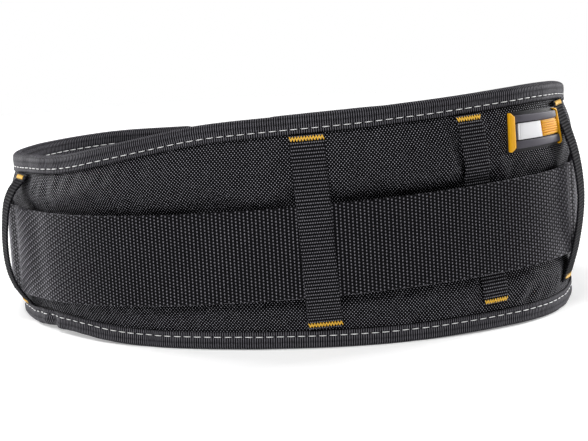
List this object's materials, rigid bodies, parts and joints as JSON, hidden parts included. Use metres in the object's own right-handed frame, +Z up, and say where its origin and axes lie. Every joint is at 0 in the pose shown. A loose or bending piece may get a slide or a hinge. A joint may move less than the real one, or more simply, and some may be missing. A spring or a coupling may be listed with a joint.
{
  "type": "padded work belt",
  "caption": "Padded work belt, fastened in a loop: foam waist pad with a bound edge, wide waist web, upright tool loops, small badge and a plain buckle.",
  "frame": {"origin": "middle of the bounding box, on the surface that the belt stands on", "axes": "+Z up, +X to the wearer's right side, +Y from the tall back towards the buckle at the front"},
  "size_m": [0.4318, 0.2826, 0.1717],
  "materials": {
    "pad_cloth": "coarse basket-woven nylon over foam",
    "binding_tape": "ribbed woven tape",
    "webbing": "heavy twill-woven webbing",
    "strap_webbing": "cross-ribbed narrow webbing",
    "buckle_plastic": "moulded, matt",
    "badge_grey": "soft moulded, matt",
    "badge_gold": "coloured moulding, matt",
    "badge_pale": "plain pale inlay"
  },
  "bodies": {
    "root": {"pad": "pad_cloth", "edge_binding": "binding_tape", "waist_web": "webbing", "front_buckle": "buckle_plastic", "side_loop_left": "strap_webbing", "back_loop": "strap_webbing", "tool_loop": "strap_webbing", "side_loop_right": "strap_webbing", "badge_plate": "badge_grey", "badge_end_bar": "badge_gold", "badge_end_bracket": "badge_gold", "badge_pale_panel": "badge_pale", "badge_gold_panel": "badge_gold"}
  },
  "joints": []
}
